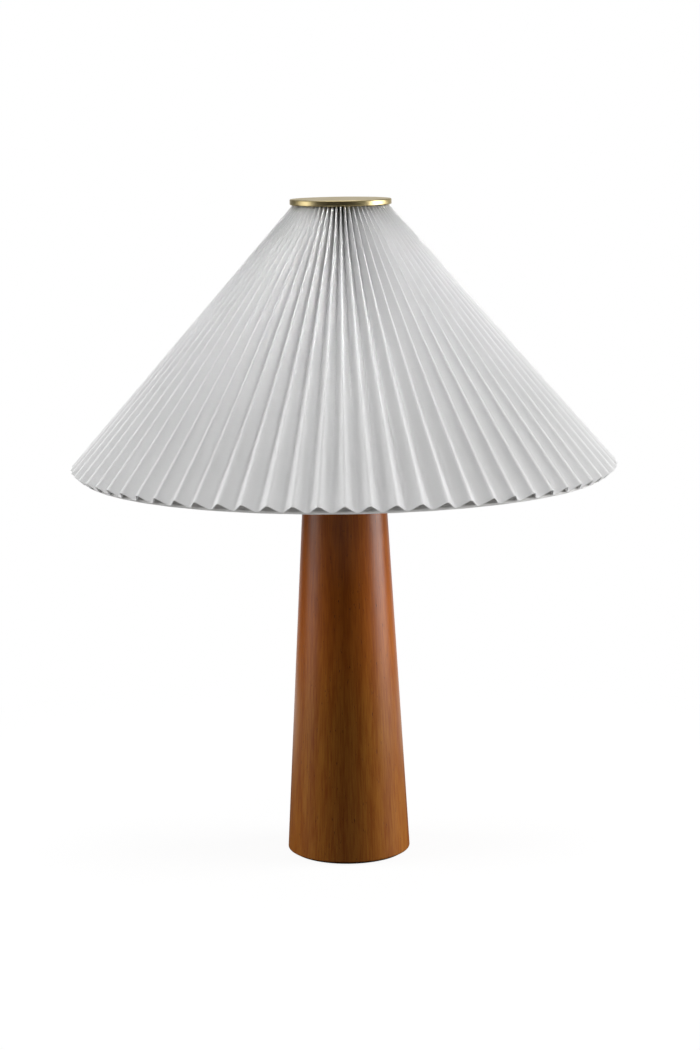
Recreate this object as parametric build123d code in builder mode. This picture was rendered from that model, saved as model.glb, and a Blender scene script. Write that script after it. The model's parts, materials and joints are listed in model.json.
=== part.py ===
from build123d import *
import math
import os

# Turned wooden table lamp with a pleated conical shade, held by a harp under a round brass cap.
# Lengths are millimetres. The lamp stands on Z = 0 with its axis on Z and its front facing -Y.
# The harp lies in the XZ plane and the cord inlet faces +Y.

# Column and foot
felt_thickness = 1.5
felt_inset = 3.0
column_height = 294.5
foot_radius = 46.4
column_top_radius = 30.0
foot_round = 1.2
column_top_round = 2.0

# Ballast in its recess under the foot
recess_depth = 34.5
weight_radius = 31.0
weight_height = 20.0
weight_clearance = 0.5

# Threaded pipe through the column, with its nuts and washer
pipe_radius = 5.1
pipe_bore_radius = 3.5
pipe_clearance = 0.3
pipe_projection = 2.0
thread_clearance = 0.1
washer_radius = 11.0
washer_thickness = 1.5
nut_flats = 15.0
lower_nut_height = 5.0
upper_nut_height = 4.0

# Cord inlet bushing at the back of the foot
bushing_bore_radius = 3.3
bushing_wall = 1.4
bushing_clearance = 0.15
bushing_flange_width = 2.1
bushing_flange_thickness = 1.8
bushing_flange_sink = 1.2
bushing_overhang = 1.0

# Check ring and harp saddle on top of the column
check_ring_radius = 17.0
check_ring_thickness = 2.5
check_ring_round = 0.8
saddle_thickness = 1.5
saddle_width = 12.0
saddle_bend = 8.0
saddle_rise = 22.0
collar_radius = 4.2
collar_height = 2.0
prong_radius = 1.7
prong_length = 12.0

# Harp
harp_leg_offset = 30.0
harp_half_width = 57.0
harp_rise = 154.0
harp_wire_radius = 2.0
ferrule_radius = 2.8
ferrule_length = 16.0
ferrule_socket_depth = 12.6
crown_radius = 6.0
crown_top_rise = 5.0
crown_cover = 0.5
running_clearance = 0.08
sleeve_clearance = 0.3
sleeve_wall = 1.0
sleeve_length = 14.0
sleeve_round = 0.4

# Swivel stud on the harp's crown
swivel_gap = 0.1
swivel_head_radius = 4.5
swivel_head_height = 1.4
swivel_shank_radius = 2.5
swivel_flange_radius = 8.5
swivel_flange_height = 5.9
stud_radius = 3.1
stud_length = 10.0

# Lamp-holder
socket_height = 62.0
socket_hub_radius = 8.0
socket_hub_height = 6.0
socket_cap_height = 22.0
socket_cap_wall = 0.8
socket_cap_round = 3.0
shell_radius = 16.5
shell_wall = 0.6
shell_overlap = 7.0
insulator_wall = 0.8
nested_clearance = 0.15
core_radius = 14.2
core_seat_gap = 0.2
screw_depth = 25.0
screw_shell_inner_radius = 13.35
screw_shell_wall = 0.4
screw_shell_set_back = 1.0
contact_radius = 4.0
contact_thickness = 0.5

# Terminal screws on two flats of the lamp-holder's core
terminal_flat_depth = 3.2
terminal_flat_bottom = 2.5
terminal_flat_height = 11.0
terminal_head_radius = 2.6
terminal_head_height = 2.0
terminal_shank_radius = 1.5
terminal_shank_length = 4.0

# Turn switch
switch_rise = 5.0
shaft_radius = 2.0
shaft_depth_in_core = 8.0
shaft_hole_radius = 2.6
knob_radius = 5.5
knob_length = 12.0
knob_stand_off = 4.0
knob_socket_depth = 8.0
knob_round = 0.8
knob_groove_radius = 0.7
knob_groove_count = 12

# Screw bulb
bulb_seat_gap = 0.2
bulb_contact_radius = 4.6
bulb_contact_height = 2.0
bulb_insulator_radius = 10.4
bulb_insulator_height = 3.2
bulb_thread_radius = 13.05
bulb_thread_depth = 0.7
bulb_thread_pitch = 3.63
bulb_thread_turns = 5
bulb_base_collar = 3.0
bulb_base_wall = 0.5
bulb_length = 101.8
bulb_radius = 30.0
bulb_neck_radius = 13.4
bulb_glass_wall = 0.9
bulb_shoulder_angle = 35.0

# Pleated shade: fold ends, measured on the outer folds
pleat_count = 72
peak_bottom_radius = 203.2
peak_top_radius = 36.3
peak_drop = 190.4
peak_rise_above_seat = 9.9
pleat_depth_bottom = 7.6
pleat_depth_top = 11.5
skin_inset_bottom = 0.45
skin_inset_top = 2.2

# Lining, hem and wire frame of the shade
lining_clearance = 0.15
lining_wall = 0.5
lining_set_back = 0.6
hem_radius = 1.5
hem_tuck = 1.9
hem_clearance = 0.25
bottom_wire_radius = 1.0
binding_clearance = 0.05
top_wire_radius = 1.25
fitter_thickness = 1.5
fitter_radius = 11.0
fitter_clearance = 0.25
arm_width = 3.0
arm_count = 3

# Cap
cap_overhang = 1.1
cap_thickness = 4.0
cap_round = 0.6
cap_gap = 1.3
cap_hub_radius = 7.0
cap_washer_radius = 9.0
cap_washer_thickness = 1.0
cap_end_gap = 0.4

# Heights of the seats, from the floor up
column_foot = felt_thickness
column_top = column_foot + column_height
recess_top = column_foot + recess_depth
weight_bottom = recess_top - weight_height
washer_bottom = weight_bottom - washer_thickness
lower_nut_bottom = washer_bottom - lower_nut_height
saddle_bottom = column_top + check_ring_thickness
saddle_top = saddle_bottom + saddle_thickness
socket_bottom = saddle_top + upper_nut_height
socket_top = socket_bottom + socket_height
socket_plate = socket_bottom + socket_hub_height
socket_rim = socket_bottom + socket_cap_height
core_bottom = socket_plate + socket_cap_wall + core_seat_gap
core_top = socket_top - screw_depth
switch_height = socket_rim + switch_rise
collar_bottom = saddle_top + saddle_rise
harp_foot = collar_bottom + collar_height
shade_seat = harp_foot + harp_rise
crown_top = shade_seat - swivel_flange_height - swivel_gap
crown_height = crown_top - crown_top_rise
crown_bottom = crown_height - harp_wire_radius - crown_cover
fitter_top = shade_seat + fitter_thickness
cap_hub_bottom = fitter_top + cap_washer_thickness
peak_top_height = shade_seat + peak_rise_above_seat
peak_bottom_height = peak_top_height - peak_drop
cap_bottom = peak_top_height + cap_gap

# Radii of the fits
recess_radius = weight_radius + weight_clearance
pipe_hole_radius = pipe_radius + pipe_clearance
nut_bore_radius = pipe_radius + thread_clearance
bushing_radius = bushing_bore_radius + bushing_wall
bushing_flange_radius = bushing_radius + bushing_flange_width
insulator_radius = shell_radius - shell_wall - nested_clearance
switch_reach = shell_radius + knob_stand_off
cap_radius = peak_top_radius + cap_overhang

# Folds of the shade, as lines in the plane through the axis
fold_length = math.hypot(peak_bottom_radius - peak_top_radius, peak_drop)
fold_out = (peak_bottom_radius - peak_top_radius) / fold_length
fold_down = peak_drop / fold_length
half_pleat = math.pi / pleat_count


def beside_fold(radius, height, inward, up=0.0):
    """Point set in from a point of the outer fold line, square to it, then moved up along it."""
    return (
        radius - inward * fold_down - up * fold_out,
        height - inward * fold_out + up * fold_down,
    )


def on_line(lower, upper, height):
    """Radius, at one height, of the straight line through two (radius, height) points."""
    share = (height - lower[1]) / (upper[1] - lower[1])
    return lower[0] + share * (upper[0] - lower[0])


peak_bottom = (peak_bottom_radius, peak_bottom_height)
peak_top = (peak_top_radius, peak_top_height)


def fold_line(inward_bottom, inward_top):
    """Both ends of a fold that is set in from the outer fold line, cut off level with its top."""
    bottom = beside_fold(*peak_bottom, inward_bottom)
    top = beside_fold(*peak_top, inward_top)
    return bottom, (on_line(bottom, top, peak_top_height), peak_top_height)


outer_fold = fold_line(0, 0)
outer_fold_back = fold_line(skin_inset_bottom, skin_inset_top)
inner_fold = fold_line(pleat_depth_bottom, pleat_depth_top)
inner_fold_back = fold_line(pleat_depth_bottom + skin_inset_bottom, pleat_depth_top + skin_inset_top)


def lining_radius(height):
    """Outer radius of the lining, just inside the inner folds of the skin."""
    return on_line(*inner_fold_back, height) - lining_clearance


def column_radius(height):
    """Radius of the tapered column at one height."""
    return on_line((foot_radius, column_foot), (column_top_radius, column_top), height)


def section(*points):
    """Closed outline of (radius, height) points in the plane through the lamp's axis."""
    with BuildSketch(Plane.XZ) as outline:
        with BuildLine():
            Polyline(*points, close=True)
        make_face()
    return outline.sketch


def ring_section(inner, outer, bottom, top):
    """Outline of a plain ring or, with no inner radius, of a disc."""
    return section((inner, bottom), (outer, bottom), (outer, top), (inner, top))


def hexagon(bottom):
    """Outline of a pipe nut with its bore, at one height."""
    with BuildSketch(Plane.XY.offset(bottom)) as outline:
        RegularPolygon(nut_flats / 2, 6, major_radius=False)
        Circle(nut_bore_radius, mode=Mode.SUBTRACT)
    return outline.sketch


# Foot and column
with BuildPart() as felt_pad:
    revolve(ring_section(0, foot_radius - felt_inset, 0, felt_thickness), axis=Axis.Z)

inlet_height = (column_foot + weight_bottom) / 2
inlet_seat = column_radius(inlet_height) - bushing_flange_sink
inlet_end = recess_radius - bushing_overhang
inlet_plane = Plane((0, 0, inlet_height), x_dir=(1, 0, 0), z_dir=(0, 1, 0))
upright = (Align.CENTER, Align.CENTER, Align.MIN)

with BuildPart() as wood_body:
    revolve(
        section(
            (0, column_foot),
            (foot_radius, column_foot),
            (column_top_radius, column_top),
            (0, column_top),
        ),
        axis=Axis.Z,
    )
    fillet(wood_body.edges().filter_by(GeomType.CIRCLE).sort_by(Axis.Z)[0], foot_round)
    fillet(wood_body.edges().filter_by(GeomType.CIRCLE).sort_by(Axis.Z)[-1], column_top_round)
    with Locations((0, 0, column_foot)):
        Cylinder(recess_radius, recess_depth, align=upright, mode=Mode.SUBTRACT)
        Cylinder(pipe_hole_radius, column_height, align=upright, mode=Mode.SUBTRACT)
    with Locations(inlet_plane.offset(inlet_seat)):
        Cylinder(
            bushing_flange_radius + bushing_clearance,
            foot_radius,
            align=upright,
            mode=Mode.SUBTRACT,
        )
    with Locations(inlet_plane):
        Cylinder(
            bushing_radius + bushing_clearance,
            foot_radius,
            align=upright,
            mode=Mode.SUBTRACT,
        )

with BuildPart() as cord_bushing:
    with Locations(inlet_plane.offset(inlet_end)):
        Cylinder(bushing_radius, inlet_seat - inlet_end, align=upright)
    with Locations(inlet_plane.offset(inlet_seat)):
        Cylinder(bushing_flange_radius, bushing_flange_thickness, align=upright)
    with Locations(inlet_plane):
        Cylinder(bushing_bore_radius, foot_radius * 2, align=upright, mode=Mode.SUBTRACT)

with BuildPart() as ballast_weight:
    revolve(ring_section(pipe_hole_radius, weight_radius, weight_bottom, recess_top), axis=Axis.Z)

with BuildPart() as lower_washer:
    revolve(
        ring_section(pipe_hole_radius, washer_radius, washer_bottom, weight_bottom),
        axis=Axis.Z,
    )

with BuildPart() as lower_nut:
    extrude(hexagon(lower_nut_bottom), amount=lower_nut_height)

with BuildPart() as lamp_pipe:
    revolve(
        ring_section(
            pipe_bore_radius,
            pipe_radius,
            lower_nut_bottom - pipe_projection,
            socket_plate,
        ),
        axis=Axis.Z,
    )

# Hardware on top of the column
with BuildPart() as check_ring:
    revolve(
        ring_section(pipe_hole_radius, check_ring_radius, column_top, saddle_bottom),
        axis=Axis.Z,
    )
    fillet(check_ring.edges().filter_by(GeomType.CIRCLE).sort_by(SortBy.RADIUS)[-2:], check_ring_round)

with BuildPart() as harp_saddle:
    with BuildSketch(Plane.XZ):
        with BuildLine():
            FilletPolyline(
                (-harp_leg_offset, collar_bottom),
                (-harp_leg_offset, saddle_bottom + saddle_thickness / 2),
                (harp_leg_offset, saddle_bottom + saddle_thickness / 2),
                (harp_leg_offset, collar_bottom),
                radius=saddle_bend,
            )
        trace(line_width=saddle_thickness)
    extrude(amount=saddle_width / 2, both=True)
    with Locations((-harp_leg_offset, 0, collar_bottom), (harp_leg_offset, 0, collar_bottom)):
        Cylinder(collar_radius, collar_height, align=upright)
        Cylinder(prong_radius, collar_height + prong_length, align=upright)
    with Locations((0, 0, saddle_bottom)):
        Cylinder(pipe_hole_radius, saddle_thickness, align=upright, mode=Mode.SUBTRACT)

with BuildPart() as upper_nut:
    extrude(hexagon(saddle_top), amount=upper_nut_height)

# Lamp-holder
switch_plane = Plane((0, 0, switch_height), x_dir=(1, 0, 0), z_dir=(0, -1, 0))
shell_bottom = socket_rim - shell_overlap
socket_cap_inner_radius = shell_radius + nested_clearance
socket_cap_radius = socket_cap_inner_radius + socket_cap_wall

with BuildPart() as socket_cap:
    revolve(
        section(
            (nut_bore_radius, socket_bottom),
            (socket_hub_radius, socket_bottom),
            (socket_hub_radius, socket_plate),
            (socket_cap_radius, socket_plate),
            (socket_cap_radius, socket_rim),
            (socket_cap_inner_radius, socket_rim),
            (socket_cap_inner_radius, socket_plate + socket_cap_wall),
            (nut_bore_radius, socket_plate + socket_cap_wall),
        ),
        axis=Axis.Z,
    )
    plate_edges = socket_cap.edges().filter_by(GeomType.CIRCLE).filter_by_position(
        Axis.Z, socket_plate, socket_plate
    )
    plate_inner_edges = socket_cap.edges().filter_by(GeomType.CIRCLE).filter_by_position(
        Axis.Z, socket_plate + socket_cap_wall, socket_plate + socket_cap_wall
    )
    fillet(plate_edges.sort_by(SortBy.RADIUS)[-1], socket_cap_round)
    fillet(plate_inner_edges.sort_by(SortBy.RADIUS)[-1], socket_cap_round - socket_cap_wall)

with BuildPart() as socket_shell:
    revolve(
        ring_section(shell_radius - shell_wall, shell_radius, shell_bottom, socket_top),
        axis=Axis.Z,
    )
    with Locations(switch_plane):
        Cylinder(shaft_hole_radius, shell_radius * 2, align=upright, mode=Mode.SUBTRACT)

with BuildPart() as shell_insulator:
    revolve(
        ring_section(
            insulator_radius - insulator_wall,
            insulator_radius,
            shell_bottom,
            socket_top - screw_shell_set_back,
        ),
        axis=Axis.Z,
    )
    with Locations(switch_plane):
        Cylinder(shaft_hole_radius, shell_radius * 2, align=upright, mode=Mode.SUBTRACT)

terminal_height = core_bottom + terminal_flat_bottom + terminal_flat_height / 2
terminal_seat = core_radius - terminal_flat_depth
terminal_planes = [Plane((0, 0, terminal_height), z_dir=(side, 0, 0)) for side in (-1, 1)]
core_chamfer = socket_cap_round - socket_cap_wall

with BuildPart() as socket_core:
    revolve(ring_section(0, core_radius, core_bottom, core_top), axis=Axis.Z)
    chamfer(socket_core.edges().filter_by(GeomType.CIRCLE).sort_by(Axis.Z)[0], core_chamfer)
    with Locations(switch_plane.offset(core_radius - shaft_depth_in_core)):
        Cylinder(
            shaft_radius + running_clearance,
            core_radius,
            align=upright,
            mode=Mode.SUBTRACT,
        )
    for terminal_plane in terminal_planes:
        with Locations(terminal_plane.offset(terminal_seat)):
            Box(
                terminal_flat_height,
                core_radius * 2,
                core_radius,
                align=upright,
                mode=Mode.SUBTRACT,
            )
        with Locations(terminal_plane.offset(terminal_seat - terminal_shank_length)):
            Cylinder(
                terminal_shank_radius + thread_clearance,
                terminal_shank_length,
                align=upright,
                mode=Mode.SUBTRACT,
            )

with BuildPart() as terminal_screws:
    for terminal_plane in terminal_planes:
        with Locations(terminal_plane.offset(terminal_seat)):
            Cylinder(terminal_head_radius, terminal_head_height, align=upright)
        with Locations(terminal_plane.offset(terminal_seat - terminal_shank_length)):
            Cylinder(terminal_shank_radius, terminal_shank_length, align=upright)

with BuildPart() as screw_shell:
    revolve(
        ring_section(
            screw_shell_inner_radius,
            screw_shell_inner_radius + screw_shell_wall,
            core_top,
            socket_top - screw_shell_set_back,
        ),
        axis=Axis.Z,
    )

with BuildPart() as centre_contact:
    revolve(ring_section(0, contact_radius, core_top, core_top + contact_thickness), axis=Axis.Z)

# Turn switch
with BuildPart() as switch_shaft:
    with Locations(switch_plane.offset(core_radius - shaft_depth_in_core + running_clearance)):
        Cylinder(
            shaft_radius,
            switch_reach + knob_socket_depth - core_radius + shaft_depth_in_core - running_clearance,
            align=upright,
        )

with BuildPart() as switch_knob:
    with Locations(switch_plane.offset(switch_reach)):
        Cylinder(knob_radius, knob_length, align=upright)
    fillet(switch_knob.faces().sort_by(Axis.Y)[0].edges(), knob_round)
    with Locations(switch_plane.offset(switch_reach)):
        Cylinder(
            shaft_radius + thread_clearance,
            knob_socket_depth,
            align=upright,
            mode=Mode.SUBTRACT,
        )
        with PolarLocations(knob_radius, knob_groove_count):
            Cylinder(knob_groove_radius, knob_length, align=upright, mode=Mode.SUBTRACT)

# Bulb
bulb_tip = core_top + contact_thickness + bulb_seat_gap
bulb_insulator_bottom = bulb_tip + bulb_contact_height
bulb_base_bottom = bulb_insulator_bottom + bulb_insulator_height
bulb_base_top = bulb_base_bottom + bulb_thread_pitch * bulb_thread_turns + bulb_base_collar
bulb_top = bulb_tip + bulb_length
bulb_root_radius = bulb_thread_radius - bulb_thread_depth

with BuildPart() as bulb_contact:
    revolve(ring_section(0, bulb_contact_radius, bulb_tip, bulb_insulator_bottom), axis=Axis.Z)

with BuildPart() as bulb_insulator:
    revolve(
        section(
            (0, bulb_insulator_bottom),
            (bulb_contact_radius, bulb_insulator_bottom),
            (bulb_insulator_radius, bulb_base_bottom),
            (0, bulb_base_bottom),
        ),
        axis=Axis.Z,
    )

thread_outline = [(bulb_root_radius, bulb_base_bottom)]
for turn in range(bulb_thread_turns):
    turn_bottom = bulb_base_bottom + turn * bulb_thread_pitch
    thread_outline.append((bulb_thread_radius, turn_bottom + bulb_thread_pitch / 2))
    thread_outline.append((bulb_root_radius, turn_bottom + bulb_thread_pitch))

with BuildPart() as bulb_screw_base:
    revolve(
        section(
            (0, bulb_base_bottom),
            *thread_outline,
            (bulb_root_radius, bulb_base_top),
            (bulb_root_radius - bulb_base_wall, bulb_base_top),
            (bulb_root_radius - bulb_base_wall, bulb_base_bottom + bulb_base_wall),
            (0, bulb_base_bottom + bulb_base_wall),
        ),
        axis=Axis.Z,
    )


def globe_section(inset):
    """Half outline of the globe: a ball that runs into a narrowing neck, drawn in by an inset."""
    ball_radius = bulb_radius - inset
    ball_centre = bulb_top - bulb_radius
    shoulder = math.radians(bulb_shoulder_angle)
    shoulder_point = (
        ball_radius * math.cos(shoulder),
        ball_centre - ball_radius * math.sin(shoulder),
    )
    neck_radius = bulb_neck_radius - inset
    with BuildSketch(Plane.XZ) as outline:
        with BuildLine():
            ThreePointArc((0, ball_centre + ball_radius), (ball_radius, ball_centre), shoulder_point)
            TangentArc(
                shoulder_point,
                (neck_radius, bulb_base_top),
                tangent=(-math.sin(shoulder), -math.cos(shoulder)),
            )
            Polyline(
                (neck_radius, bulb_base_top),
                (0, bulb_base_top),
                (0, ball_centre + ball_radius),
            )
        make_face()
    return outline.sketch


with BuildPart() as bulb_globe:
    revolve(globe_section(0), axis=Axis.Z)
    revolve(globe_section(bulb_glass_wall), axis=Axis.Z, mode=Mode.SUBTRACT)

# Harp, its sleeves and the swivel on its crown
flare_bottom = harp_foot + ferrule_length
crown_centre = crown_height - harp_half_width
flare_middle = (
    (harp_leg_offset + harp_half_width) / 2,
    (flare_bottom + crown_centre) / 2,
)
wire_start = (harp_leg_offset, harp_foot + ferrule_socket_depth)

with BuildPart() as harp_frame:
    with BuildLine(Plane.XZ) as harp_path:
        leg = Line(wire_start, (harp_leg_offset, flare_bottom))
        flare_out = TangentArc(leg @ 1, flare_middle, tangent=leg % 1)
        flare_up = TangentArc(flare_out @ 1, (harp_half_width, crown_centre), tangent=flare_out % 1)
        crown_arc = TangentArc(flare_up @ 1, (0, crown_height), tangent=flare_up % 1)
        mirror(about=Plane.YZ)
    with BuildSketch(Plane((wire_start[0], 0, wire_start[1]))):
        Circle(harp_wire_radius)
    sweep(path=harp_path.wires()[0])
    with Locations((-harp_leg_offset, 0, harp_foot), (harp_leg_offset, 0, harp_foot)):
        Cylinder(ferrule_radius, ferrule_length, align=upright)
        Cylinder(
            prong_radius + running_clearance,
            ferrule_socket_depth,
            align=upright,
            mode=Mode.SUBTRACT,
        )
    with Locations((0, 0, crown_bottom)):
        Cylinder(crown_radius, crown_top - crown_bottom, align=upright)
        Cylinder(
            swivel_shank_radius + running_clearance,
            crown_top - crown_bottom,
            align=upright,
            mode=Mode.SUBTRACT,
        )

sleeve_radius = ferrule_radius + sleeve_clearance
sleeves = {}
for side, leg_x in (("left", -harp_leg_offset), ("right", harp_leg_offset)):
    with BuildPart() as harp_sleeve:
        with Locations((leg_x, 0, harp_foot)):
            Cylinder(sleeve_radius + sleeve_wall, sleeve_length, align=upright)
            fillet(harp_sleeve.edges().filter_by(GeomType.CIRCLE), sleeve_round)
            Cylinder(sleeve_radius, sleeve_length, align=upright, mode=Mode.SUBTRACT)
    sleeves[f"harp_sleeve_{side}"] = harp_sleeve

with BuildPart() as harp_stud:
    revolve(
        section(
            (0, crown_bottom - swivel_gap - swivel_head_height),
            (swivel_head_radius, crown_bottom - swivel_gap - swivel_head_height),
            (swivel_head_radius, crown_bottom - swivel_gap),
            (swivel_shank_radius, crown_bottom - swivel_gap),
            (swivel_shank_radius, crown_top + swivel_gap),
            (swivel_flange_radius, crown_top + swivel_gap),
            (swivel_flange_radius, shade_seat),
            (stud_radius, shade_seat),
            (stud_radius, shade_seat + stud_length),
            (0, shade_seat + stud_length),
        ),
        axis=Axis.Z,
    )

# Shade
def fold_ring(outer_end, inner_end):
    """Corners of the zigzag ring of folds at one end of the shade, with one outer fold at the front."""
    corners = []
    for corner in range(2 * pleat_count):
        radius, height = inner_end if corner % 2 else outer_end
        angle = corner * half_pleat - math.pi / 2
        corners.append((radius * math.cos(angle), radius * math.sin(angle), height))
    return corners


def panels(first_ring, second_ring):
    """One slightly twisted panel from each side of the first zigzag ring to that of the second."""
    faces = []
    for corner in range(2 * pleat_count):
        first_side = Edge.make_line(first_ring[corner - 1], first_ring[corner])
        second_side = Edge.make_line(second_ring[corner - 1], second_ring[corner])
        faces.append(Face.make_surface_from_curves(first_side, second_side))
    return faces


front_bottom = fold_ring(outer_fold[0], inner_fold[0])
front_top = fold_ring(outer_fold[1], inner_fold[1])
back_bottom = fold_ring(outer_fold_back[0], inner_fold_back[0])
back_top = fold_ring(outer_fold_back[1], inner_fold_back[1])

with BuildPart() as pleated_skin:
    skin_faces = [
        *panels(front_bottom, front_top),
        *panels(front_top, back_top),
        *panels(back_top, back_bottom),
        *panels(back_bottom, front_bottom),
    ]
    add(Solid(Shell(skin_faces)))

hem_inset = pleat_depth_bottom + skin_inset_bottom + hem_clearance + hem_radius
hem_centre = beside_fold(*peak_bottom, hem_inset, hem_tuck)
lining_bottom = hem_centre[1] + hem_radius + lining_clearance
lining_top = peak_top_height - lining_set_back

with BuildPart() as shade_liner:
    revolve(
        section(
            (lining_radius(lining_bottom) - lining_wall, lining_bottom),
            (lining_radius(lining_bottom), lining_bottom),
            (lining_radius(lining_top), lining_top),
            (lining_radius(lining_top) - lining_wall, lining_top),
        ),
        axis=Axis.Z,
    )

with BuildPart(Plane.XY.offset(hem_centre[1])) as shade_hem:
    Torus(hem_centre[0], hem_radius)
    Torus(hem_centre[0], bottom_wire_radius + binding_clearance, mode=Mode.SUBTRACT)

with BuildPart(Plane.XY.offset(hem_centre[1])) as shade_bottom_ring:
    Torus(hem_centre[0], bottom_wire_radius)

top_ring_height = shade_seat + fitter_thickness / 2
lining_slope = math.hypot(1, lining_radius(top_ring_height) - lining_radius(top_ring_height + 1))
top_ring_room = (top_wire_radius + lining_clearance) * lining_slope
top_ring_radius = lining_radius(top_ring_height) - lining_wall - top_ring_room
arm_inner_radius = (fitter_radius + stud_radius) / 2

with BuildPart(Plane.XY.offset(top_ring_height)) as shade_fitter:
    Torus(top_ring_radius, top_wire_radius)
    Cylinder(fitter_radius, fitter_thickness)
    with PolarLocations((arm_inner_radius + top_ring_radius) / 2, arm_count, start_angle=90):
        Box(top_ring_radius - arm_inner_radius, arm_width, fitter_thickness)
    Cylinder(stud_radius + fitter_clearance, fitter_thickness, mode=Mode.SUBTRACT)

# Cap
with BuildPart() as cap_washer:
    revolve(
        ring_section(stud_radius + fitter_clearance, cap_washer_radius, fitter_top, cap_hub_bottom),
        axis=Axis.Z,
    )

with BuildPart() as cap_hub:
    revolve(ring_section(0, cap_hub_radius, cap_hub_bottom, cap_bottom), axis=Axis.Z)
    with Locations((0, 0, cap_hub_bottom)):
        Cylinder(
            stud_radius + fitter_clearance,
            shade_seat + stud_length + cap_end_gap - cap_hub_bottom,
            align=upright,
            mode=Mode.SUBTRACT,
        )

with BuildPart() as cap_disc:
    revolve(ring_section(0, cap_radius, cap_bottom, cap_bottom + cap_thickness), axis=Axis.Z)
    fillet(cap_disc.edges().filter_by(GeomType.CIRCLE), cap_round)

pieces = {
    "felt_pad": felt_pad,
    "wood_body": wood_body,
    "cord_bushing": cord_bushing,
    "ballast_weight": ballast_weight,
    "lower_washer": lower_washer,
    "lower_nut": lower_nut,
    "lamp_pipe": lamp_pipe,
    "check_ring": check_ring,
    "harp_saddle": harp_saddle,
    "upper_nut": upper_nut,
    "socket_cap": socket_cap,
    "socket_shell": socket_shell,
    "shell_insulator": shell_insulator,
    "socket_core": socket_core,
    "terminal_screws": terminal_screws,
    "screw_shell": screw_shell,
    "centre_contact": centre_contact,
    "switch_shaft": switch_shaft,
    "switch_knob": switch_knob,
    "bulb_contact": bulb_contact,
    "bulb_insulator": bulb_insulator,
    "bulb_screw_base": bulb_screw_base,
    "bulb_globe": bulb_globe,
    "harp_frame": harp_frame,
    **sleeves,
    "harp_stud": harp_stud,
    "pleated_skin": pleated_skin,
    "shade_liner": shade_liner,
    "shade_hem": shade_hem,
    "shade_bottom_ring": shade_bottom_ring,
    "shade_fitter": shade_fitter,
    "cap_washer": cap_washer,
    "cap_hub": cap_hub,
    "cap_disc": cap_disc,
}

os.makedirs("parts", exist_ok=True)
for name, piece in pieces.items():
    piece.part.label = name
    export_step(piece.part, f"parts/{name}.step")
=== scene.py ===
"""Dresses a turned wooden table lamp with a pleated shade and lights it on a plain white floor.

Lengths are metres in the lamp's own frame: it stands on Z = 0, its axis is Z, its front faces -Y.
"""

import json
import logging
import math
from dataclasses import dataclass
from enum import Enum

import bpy
import numpy as np
from mathutils import Matrix, Vector


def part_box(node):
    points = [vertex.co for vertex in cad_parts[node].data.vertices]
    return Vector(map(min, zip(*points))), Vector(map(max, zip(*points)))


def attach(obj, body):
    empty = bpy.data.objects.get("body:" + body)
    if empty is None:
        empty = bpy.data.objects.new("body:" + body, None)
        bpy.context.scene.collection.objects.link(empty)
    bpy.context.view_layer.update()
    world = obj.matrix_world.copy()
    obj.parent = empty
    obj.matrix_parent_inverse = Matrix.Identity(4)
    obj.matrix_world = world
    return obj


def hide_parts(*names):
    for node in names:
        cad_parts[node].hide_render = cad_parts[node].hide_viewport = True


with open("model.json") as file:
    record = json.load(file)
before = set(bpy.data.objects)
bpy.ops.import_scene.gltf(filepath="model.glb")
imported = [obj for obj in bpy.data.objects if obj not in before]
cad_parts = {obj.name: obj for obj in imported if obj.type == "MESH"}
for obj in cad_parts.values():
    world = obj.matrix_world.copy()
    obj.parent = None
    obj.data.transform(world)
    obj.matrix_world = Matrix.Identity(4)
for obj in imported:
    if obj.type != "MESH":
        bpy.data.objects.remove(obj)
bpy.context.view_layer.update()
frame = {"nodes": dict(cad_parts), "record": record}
log = logging.getLogger("lamp")

Colour = tuple[float, float, float]
Point = tuple[float, float]
Place = tuple[float, float, float]
Socket = bpy.types.NodeSocket
Value = float | tuple[float, ...] | Socket

FULL_TURN = 2 * math.pi
CLOTH_MAP = "flat_cloth"
CUT_EDGE_DEGREES = 65.0
POLE_GAP = 1e-6
# Blender's ring texture turns through this many radians per unit of distance.
RING_TEXTURE_RATE = 20.0
# Numbers of the Mix node's sockets for colours, whose names repeat.
MIX_SHARE, MIX_FIRST, MIX_SECOND, MIX_RESULT = 0, 6, 7, 2


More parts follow.
